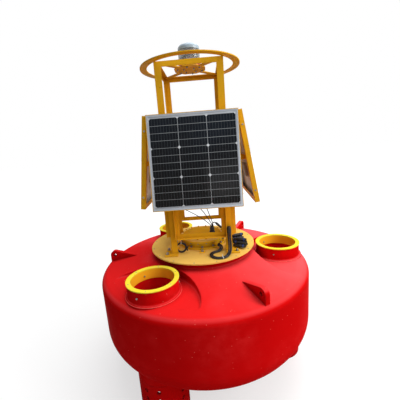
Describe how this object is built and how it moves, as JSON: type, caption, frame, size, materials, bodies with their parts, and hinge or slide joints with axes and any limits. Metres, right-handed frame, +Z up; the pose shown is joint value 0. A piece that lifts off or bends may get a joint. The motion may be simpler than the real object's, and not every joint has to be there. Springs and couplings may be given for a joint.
{
  "type": "wave monitoring buoy",
  "caption": "Round moulded float with open sensor wells and perforated guard tubes, a bolted hatch, and an angle-iron tower with solar panels, a flat ring and a lantern.",
  "frame": {"origin": "on the ground, midway under the buoy, at the lower ends of the guard tubes", "axes": "+Z up along the tower, -Y towards the side that faces the camera, +X to the right"},
  "size_m": [1.42, 1.4196, 2.174],
  "materials": {
    "float_red": "satin moulded",
    "ring_yellow": "gloss paint",
    "plate_yellow": "satin paint",
    "tower_yellow": "gloss paint",
    "panel_rim": "satin anodised",
    "panel_face": "cells under clear glass",
    "black_plastic": "moulded",
    "cable": "matt jacket",
    "lantern_red": "moulded",
    "lantern_clear": "clear moulding",
    "lantern_cap": "moulded",
    "lantern_dark": "moulded",
    "steel": "galvanised",
    "battery": "moulded case"
  },
  "bodies": {
    "root": {"float_body": "float_red", "guard_tube_1": "float_red", "guard_tube_2": "float_red", "guard_tube_3": "float_red", "well_ring_1": "ring_yellow", "well_ring_2": "ring_yellow", "well_ring_3": "ring_yellow", "base_plate": "plate_yellow", "hatch_drum": "tower_yellow", "hatch_lid": "tower_yellow", "battery_block": "battery", "mooring_plate": "steel", "post_1": "tower_yellow", "post_2": "tower_yellow", "post_3": "tower_yellow", "post_4": "tower_yellow", "carrier_1": "tower_yellow", "carrier_2": "tower_yellow", "carrier_3": "tower_yellow", "carrier_4": "tower_yellow", "top_frame": "tower_yellow", "lamp_cross": "tower_yellow", "top_ring": "tower_yellow", "lantern_base": "lantern_red", "lantern_body": "lantern_clear", "lantern_core": "lantern_dark", "lantern_cap": "lantern_cap", "cradle_1": "tower_yellow", "cradle_2": "tower_yellow", "cradle_3": "tower_yellow", "cradle_4": "tower_yellow", "stay_1": "tower_yellow", "stay_2": "tower_yellow", "stay_3": "tower_yellow", "stay_4": "tower_yellow", "panel_rim_1": "panel_rim", "panel_rim_2": "panel_rim", "panel_rim_3": "panel_rim", "panel_rim_4": "panel_rim", "panel_glass_1": "panel_face", "panel_glass_2": "panel_face", "panel_glass_3": "panel_face", "panel_glass_4": "panel_face", "junction_box_1": "black_plastic", "junction_box_2": "black_plastic", "junction_box_3": "black_plastic", "junction_box_4": "black_plastic", "lid_gland": "black_plastic", "side_gland": "tower_yellow", "post_plug": "black_plastic", "sensor_plugs": "black_plastic", "spare_coil": "cable", "panel_lead_1": "cable", "panel_lead_2": "cable", "panel_lead_3": "cable", "sensor_lead": "cable", "lead_coupler": "black_plastic", "loop_cable": "cable", "loop_cable_2": "cable"}
  },
  "joints": []
}
